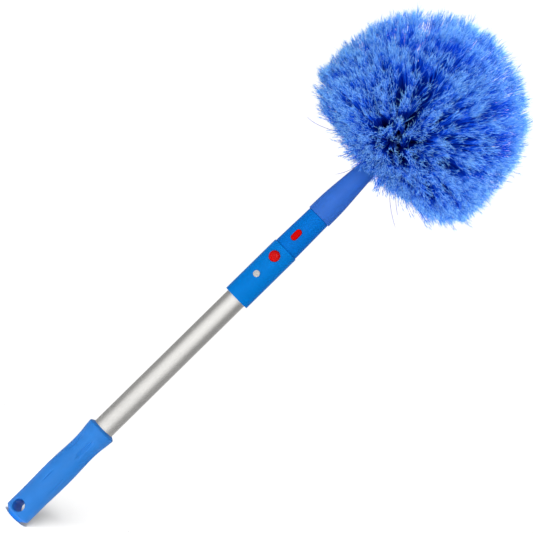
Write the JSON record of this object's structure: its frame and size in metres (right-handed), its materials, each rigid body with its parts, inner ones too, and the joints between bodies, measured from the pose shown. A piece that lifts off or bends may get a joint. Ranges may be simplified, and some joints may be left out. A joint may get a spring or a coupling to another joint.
{
  "type": "telescopic dome duster",
  "caption": "Dome duster with radiating synthetic bristles on a push-button telescopic aluminium pole, with a soft grip and a hang hole.",
  "frame": {"origin": "centre of the small flat on the butt of the grip", "axes": "+Z along the pole towards the brush; the push button, the rivet and the snap button face -Y; +X completes the right-handed frame"},
  "size_m": [0.241, 0.241, 0.7435],
  "materials": {
    "grip_rubber": "satin",
    "plug_plastic": "satin",
    "tube_aluminium": "satin",
    "collar_plastic": "satin",
    "adapter_plastic": "satin",
    "ferrule_plastic": "satin",
    "hub_plastic": "satin",
    "acetal": "satin",
    "rivet_plastic": "satin",
    "red_plastic": "gloss",
    "spring_steel": "satin",
    "bristle": "satin"
  },
  "bodies": {
    "handle": {"grip_sleeve": "grip_rubber", "grip_end_plug": "plug_plastic", "outer_tube": "tube_aluminium", "lock_collar": "collar_plastic", "collar_cap_ring": "collar_plastic", "guide_bush": "acetal", "collar_rivet": "rivet_plastic", "lock_spring": "spring_steel"},
    "lock_slide": {"lock_button_cap": "red_plastic", "lock_stirrup": "spring_steel", "lock_pin": "spring_steel"},
    "inner_pole": {"inner_tube": "tube_aluminium", "inner_tube_foot": "acetal", "cone_adapter": "adapter_plastic", "latch_spring_clip": "spring_steel"},
    "head_latch": {"latch_button": "red_plastic"},
    "brush_head": {"ferrule": "ferrule_plastic", "hub_washer": "spring_steel", "hub_screw": "spring_steel", "bristle_hub": "hub_plastic", "tufts_crown": "bristle", "tufts_row_1": "bristle", "tufts_row_2": "bristle", "tufts_row_3": "bristle", "tufts_row_4": "bristle", "tufts_row_5": "bristle", "tufts_row_6": "bristle"}
  },
  "joints": [
    {"name": "pole_extend", "type": "slide", "parent": "handle", "child": "inner_pole", "axis": [0, 0, 1], "range_m": [0, 0.28]},
    {"name": "lock_button_press", "type": "slide", "parent": "handle", "child": "lock_slide", "axis": [0, 1, 0], "range_m": [0, 0.0014], "stiffness_N_per_m": 500, "springref_m": -0.002, "deforming": ["lock_spring"]},
    {"name": "latch_button_press", "type": "slide", "parent": "inner_pole", "child": "head_latch", "axis": [0, 1, 0], "range_m": [0, 0.0043], "stiffness_N_per_m": 300, "springref_m": -0.003, "deforming": ["latch_spring_clip"]},
    {"name": "head_pull_off", "type": "slide", "parent": "inner_pole", "child": "brush_head", "axis": [0, 0, 1], "range_m": [0, 0.05]}
  ]
}
